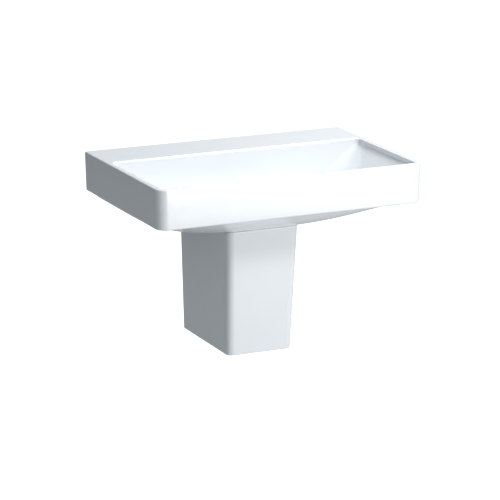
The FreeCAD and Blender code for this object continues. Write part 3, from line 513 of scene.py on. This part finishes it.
def basin_rings():
    """The whole casting as one run of rings: underside, apron, rim, bowl, drain seat and waste hole."""
    rings = underside_rings()
    for inset, lift in reversed(rounded_profile(BOTTOM_ROUND, 4)):
        rings.append(apron_ring(APRON_BOTTOM + lift, inset))
    for share in (0.33, 0.66):
        rings.append(apron_ring(APRON_BOTTOM + share * APRON_HEIGHT))
    for inset, drop in rounded_profile(TOP_ROUND, 5):
        rings.append(apron_ring(RIM_HEIGHT - drop, inset))
    opening = bowl_ring(0.0, -RIM_ROUND)
    rings += [blend_rings(rings[-1], opening, share) for share in (0.25, 0.5, 0.75)]
    for spread, drop in reversed(rounded_profile(RIM_ROUND, 5)):
        rings.append(bowl_ring(drop, -spread))
    foot_start = BOWL_DEPTH - FOOT_HEIGHT
    # the rows of points lie closer together round the fold at the lip
    drops = [RIM_ROUND + 4.0, LIP_DROP - 2.0, LIP_DROP + 3.0]
    slope_start = LIP_DROP + 10.0
    drops += [slope_start + (foot_start - slope_start) * step / SLOPE_STEPS
              for step in range(SLOPE_STEPS + 1)]
    drops += [foot_start + FOOT_HEIGHT * math.sin(math.radians(90.0 * step / FOOT_STEPS))
              for step in range(1, FOOT_STEPS + 1)]
    rings += [bowl_ring(drop) for drop in drops]
    floor_edge = rings[-1]
    dish_edge = circle_like(floor_edge, DISH_RADIUS * DISH_INNER_SHARE, BOWL_FLOOR - DISH_DROP)
    for step in range(1, FLOOR_STEPS + 1):
        share = step / FLOOR_STEPS
        ring = blend_rings(floor_edge, dish_edge, share)
        for point in ring:
            point.z = BOWL_FLOOR - DISH_DROP * share * share
        rings.append(ring)
    floor = BOWL_FLOOR - DISH_DROP
    seat = floor - SEAT_DROP
    drain = [
        (SEAT_RADIUS + SEAT_CHAMFER_WIDTH, floor),
        (SEAT_RADIUS, floor - SEAT_CHAMFER_DEPTH),
        (SEAT_RADIUS, seat),
        (HOLE_RADIUS, seat),
        (HOLE_RADIUS, BOSS_BOTTOM + HOLE_RING_LIFT),
    ]
    rings += [circle_like(floor_edge, radius, z) for radius, z in drain]
    return rings


def box_cutter(low, high):
    bm = bmesh.new()
    bmesh.ops.create_cube(bm, size=1.0)
    size = [b - a for a, b in zip(low, high)]
    middle = [(a + b) / 2.0 for a, b in zip(low, high)]
    bmesh.ops.scale(bm, vec=size, verts=bm.verts)
    bmesh.ops.translate(bm, vec=middle, verts=bm.verts)
    bmesh.ops.bevel(bm, geom=bm.edges, offset=CUTTER_ROUND, offset_type="OFFSET", segments=3, profile=0.5,
                    affect="EDGES", material=-1)
    return bm


def rod_along_y(radius, x, z, start, end):
    bm = bmesh.new()
    bmesh.ops.create_cone(bm, cap_ends=True, segments=48, radius1=radius, radius2=radius, depth=end - start)
    bmesh.ops.rotate(bm, matrix=Matrix.Rotation(math.radians(90.0), 3, "X"), verts=bm.verts)
    bmesh.ops.translate(bm, vec=(x, (start + end) / 2.0, z), verts=bm.verts)
    return bm


def cut_away(piece, cutters):
    """Cuts each closed shape out of a piece and keeps the result as its mesh."""
    tools = []
    for bm in cutters:
        bmesh.ops.scale(bm, vec=(MM, MM, MM), verts=bm.verts)
        mesh = bpy.data.meshes.new("cutter")
        bm.to_mesh(mesh)
        bm.free()
        tool = bpy.data.objects.new("cutter", mesh)
        bpy.context.scene.collection.objects.link(tool)
        tools.append(tool)
        cut = piece.modifiers.new("cut", "BOOLEAN")
        cut.operation = "DIFFERENCE"
        cut.solver = "EXACT"
        cut.object = tool
    bpy.context.view_layer.update()
    result = bpy.data.meshes.new_from_object(piece.evaluated_get(bpy.context.evaluated_depsgraph_get()))
    piece.modifiers.clear()
    piece.data = result
    for tool in tools:
        bpy.data.objects.remove(tool)
    result.shade_smooth()
    result.set_sharp_from_angle(angle=math.radians(CUT_CREASE))


def make_basin():
    bm = loft(basin_rings(), True)
    bmesh.ops.recalc_face_normals(bm, faces=bm.faces)
    piece = new_piece("basin_casting", bm, "fixed_basin", "glazed_ceramic", ["basin"], CUT_CREASE)
    cutters = [
        box_cutter((-ACCESS_HALF_WIDTH, -DECK_DEPTH + CERAMIC_WALL, BOSS_BOTTOM - CUT_PAST),
                   (ACCESS_HALF_WIDTH, -BACK_PANEL, ACCESS_TOP)),
        box_cutter(
            (-DECK_HOLLOW_HALF_WIDTH, -DECK_DEPTH + DECK_HOLLOW_FRONT_WALL, APRON_BOTTOM + CERAMIC_WALL),
            (DECK_HOLLOW_HALF_WIDTH, -BACK_PANEL, RIM_HEIGHT - DECK_THICKNESS)),
        rod_along_y(OVERFLOW_RADIUS, 0.0, RIM_HEIGHT - OVERFLOW_DROP, *OVERFLOW_ENDS),
    ]
    for x in (-BASIN_BOLT_X, BASIN_BOLT_X):
        cutters.append(rod_along_y(BASIN_BOLT_HOLE_RADIUS, x, 0.0, -BACK_PANEL - CUT_PAST, CUT_PAST))
    cut_away(piece, cutters)
    return even_normals(piece)


# ---- half pedestal ----
def pedestal_path(z):
    """The pedestal's open outline in plan, from its left rear edge round the front to its right rear edge."""
    share = (z - PEDESTAL_BOTTOM) / (APRON_BOTTOM - PEDESTAL_BOTTOM)
    half = PEDESTAL_BOTTOM_HALF + share * (PEDESTAL_TOP_HALF - PEDESTAL_BOTTOM_HALF)
    depth = PEDESTAL_BOTTOM_DEPTH + share * (PEDESTAL_TOP_DEPTH - PEDESTAL_BOTTOM_DEPTH)
    radius = PEDESTAL_CORNER
    left = [Vector((-half, -(depth - radius) * step / PEDESTAL_SIDE_STEPS, z))
            for step in range(PEDESTAL_SIDE_STEPS)]
    flat = half - radius
    for step in range(PEDESTAL_CORNER_STEPS + 1):
        angle = math.radians(180.0 + 90.0 * step / PEDESTAL_CORNER_STEPS)
        x = -flat + radius * math.cos(angle)
        y = -depth + radius + radius * math.sin(angle)
        left.append(Vector((x, y, z)))
    middle = [Vector((-flat + 2.0 * flat * step / PEDESTAL_FRONT_STEPS, -depth, z))
              for step in range(1, PEDESTAL_FRONT_STEPS)]
    right = [Vector((-point.x, point.y, z)) for point in reversed(left)]
    return left + middle + right


def make_pedestal():
    """A sheet drawn down from the basin's underside, thickened inwards, with soft edges."""
    outline = pedestal_path(PEDESTAL_TOP_GUIDE)
    bm = bmesh.new()
    bmesh.ops.create_grid(bm, x_segments=len(outline) - 1, y_segments=PEDESTAL_HEIGHT_STEPS, size=1.0)
    columns = sorted({round(vert.co.x, 5) for vert in bm.verts})
    for vert in bm.verts:
        column = columns.index(round(vert.co.x, 5))
        share = (vert.co.y + 1.0) / 2.0
        top = belly_bottom(outline[column].x, outline[column].y) - PEDESTAL_GAP
        z = PEDESTAL_BOTTOM + share * (top - PEDESTAL_BOTTOM)
        vert.co = pedestal_path(z)[column]
    front = min(bm.faces, key=lambda face: face.calc_center_median().y)
    front.normal_update()
    if front.normal.y > 0.0:
        bmesh.ops.reverse_faces(bm, faces=bm.faces)
    piece = new_piece("pedestal_shell", bm, "fixed_basin", "glazed_ceramic", ["half_pedestal"],
                      CERAMIC_CREASE)
    wall = piece.modifiers.new("wall", "SOLIDIFY")
    wall.thickness = PEDESTAL_WALL * MM
    wall.offset = -1.0
    wall.use_even_offset = True
    soft = piece.modifiers.new("soft edges", "BEVEL")
    soft.limit_method = "ANGLE"
    soft.angle_limit = math.radians(60.0)
    soft.width = PEDESTAL_SOFT_EDGE * MM
    soft.segments = 4
    return even_normals(piece)


def make_pedestal_lug(side):
    """The pierced ear inside the shell that a wall bolt holds."""
    bm = bmesh.new()
    bmesh.ops.create_cube(bm, size=1.0)
    bmesh.ops.scale(bm, vec=(LUG_OUTER - LUG_INNER, LUG_THICKNESS, LUG_HEIGHT), verts=bm.verts)
    middle = (side * (LUG_INNER + LUG_OUTER) / 2.0, -LUG_THICKNESS / 2.0, LUG_Z)
    bmesh.ops.translate(bm, vec=middle, verts=bm.verts)
    bmesh.ops.bevel(bm, geom=bm.edges, offset=LUG_ROUND, offset_type="OFFSET", segments=3, profile=0.5,
                    affect="EDGES", material=-1)
    name = "pedestal_lug_right" if side > 0 else "pedestal_lug_left"
    piece = new_piece(name, bm, "fixed_basin", "glazed_ceramic", [], CERAMIC_CREASE)
    hole = rod_along_y(PEDESTAL_BOLT_HOLE_RADIUS, side * PEDESTAL_BOLT_X, LUG_Z,
                       -LUG_THICKNESS - LUG_CUT_PAST, LUG_CUT_PAST)
    cut_away(piece, [hole])
    return piece


# ---- fittings ----
def merged_copy(node, slot):
    """A node's own shape with its points joined up, so that round faces are smooth and edges crisp."""
    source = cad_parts[node]
    bm = bmesh.new()
    bm.from_mesh(source.data)
    bmesh.ops.transform(bm, matrix=source.matrix_world, verts=bm.verts)
    bmesh.ops.scale(bm, vec=(1.0 / MM, 1.0 / MM, 1.0 / MM), verts=bm.verts)
    bmesh.ops.remove_doubles(bm, verts=bm.verts, dist=0.004)
    bmesh.ops.dissolve_limit(bm, angle_limit=math.radians(1.0), verts=bm.verts, edges=bm.edges)
    return new_piece(node + "_finished", bm, node_body(node), slot, [node], FITTING_CREASE)


def node_body(node):
    for name, nodes in BODY_NODES.items():
        if node in nodes:
            return name
    return "fixed_basin"


def spun(profile):
    """Turns a list of (radius, z) round the waste's axis into a closed shape."""
    bm = bmesh.new()
    verts = [bm.verts.new((radius, WASTE_Y, z)) for radius, z in profile]
    edges = [bm.edges.new((a, b)) for a, b in zip(verts, verts[1:])]
    bmesh.ops.spin(bm, geom=verts + edges, cent=(0.0, WASTE_Y, 0.0), axis=(0.0, 0.0, 1.0),
                   angle=math.radians(360.0), steps=96, use_merge=True)
    bmesh.ops.remove_doubles(bm, verts=bm.verts, dist=0.001)
    bmesh.ops.recalc_face_normals(bm, faces=bm.faces)
    return bm


def make_plug_cap():
    """A shallow dome of chrome that is pressed down to close the waste."""
    low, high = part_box("plug_cap")
    radius = (high[0] - low[0]) / 2.0 / MM
    bottom, top = low[2] / MM, high[2] / MM
    edge = bottom + CAP_EDGE
    profile = [(0.0, bottom), (radius - CAP_CHAMFER_WIDTH, bottom),
               (radius - CAP_CHAMFER_CORNER, bottom + CAP_CHAMFER_CORNER), (radius, edge)]
    steps = 12
    for step in range(1, steps + 1):
        angle = math.radians(90.0 * step / steps)
        profile.append((radius * math.cos(angle), edge + (top - edge) * math.sin(angle) ** CAP_FULLNESS))
    profile[-1] = (0.0, top)
    return new_piece("plug_cap_dome", spun(profile), "waste_plug", "polished_chrome", ["plug_cap"],
                     CAP_CREASE)


# ---- studio ----
def area_light(name, place, target, width, height, power):
    data = bpy.data.lights.new(name, "AREA")
    data.shape = "RECTANGLE"
    data.size = width
    data.size_y = height
    data.energy = power
    light = bpy.data.objects.new(name, data)
    light.location = place
    light.rotation_euler = (Vector(target) - Vector(place)).to_track_quat("-Z", "Y").to_euler()
    bpy.context.scene.collection.objects.link(light)


def make_floor(height):
    """A broad pale floor."""
    bm = bmesh.new()
    bmesh.ops.create_grid(bm, x_segments=1, y_segments=1, size=30.0)
    bmesh.ops.translate(bm, vec=(0.0, 0.0, height), verts=bm.verts)
    mesh = bpy.data.meshes.new("floor")
    bm.to_mesh(mesh)
    bm.free()
    floor = bpy.data.objects.new("floor", mesh)
    bpy.context.scene.collection.objects.link(floor)
    material, tree, shader = new_material("pale floor")
    tree.links.new(two_tone(tree, cloudy(tree, 0.8, 0.0, 1.0), (0.44, 0.44, 0.44), (0.46, 0.46, 0.46)),
                   shader.inputs["Base Color"])
    shader.inputs["Roughness"].default_value = 0.9
    shader.inputs["Specular IOR Level"].default_value = 0.0
    shader.inputs["Emission Color"].default_value = (1.0, 1.0, 1.0, 1.0)
    path = tree.nodes.new("ShaderNodeLightPath")
    glow = tree.nodes.new("ShaderNodeMapRange")
    glow.inputs["To Min"].default_value = 0.0
    glow.inputs["To Max"].default_value = FLOOR_GLOW
    tree.links.new(path.outputs["Is Camera Ray"], glow.inputs["Value"])
    tree.links.new(glow.outputs["Result"], shader.inputs["Emission Strength"])
    floor.data.materials.append(material)


def make_world():
    """A pale backdrop to the camera with a trace of blue, and a dimmer even light on the object."""
    world = bpy.data.worlds.new("studio")
    world.use_nodes = True
    bpy.context.scene.world = world
    tree = world.node_tree
    background = tree.nodes["Background"]
    background.inputs["Color"].default_value = WORLD_COLOUR
    path = tree.nodes.new("ShaderNodeLightPath")
    strength = tree.nodes.new("ShaderNodeMapRange")
    strength.inputs["To Min"].default_value = WORLD_FILL
    strength.inputs["To Max"].default_value = WORLD_SEEN
    tree.links.new(path.outputs["Is Camera Ray"], strength.inputs["Value"])
    tree.links.new(strength.outputs["Result"], background.inputs["Strength"])


def make_camera():
    """Stands well back, to the left of the basin and a little above it."""
    aim = Vector(CAMERA_AIM)
    turn = math.radians(CAMERA_TURN)
    rise = math.radians(CAMERA_RISE)
    flat = CAMERA_DISTANCE * math.cos(rise)
    height = CAMERA_DISTANCE * math.sin(rise)
    place = aim + Vector((-flat * math.sin(turn), -flat * math.cos(turn), height))
    data = bpy.data.cameras.new("camera")
    data.sensor_width = 36.0
    data.lens = CAMERA_LENS
    camera = bpy.data.objects.new("camera", data)
    camera.location = place
    camera.rotation_euler = (aim - place).to_track_quat("-Z", "Y").to_euler()
    bpy.context.scene.collection.objects.link(camera)
    bpy.context.scene.camera = camera


def make_studio():
    bpy.context.scene.view_settings.view_transform = "Standard"
    make_floor(FLOOR_HEIGHT)
    make_world()
    for light in LIGHTS:
        area_light(*light)
    make_camera()


make_basin()
make_pedestal()
make_pedestal_lug(-1)
make_pedestal_lug(1)
make_plug_cap()
for slot_name, node_names in SLOT_NODES.items():
    for node_name in node_names:
        merged_copy(node_name, slot_name)
make_studio()
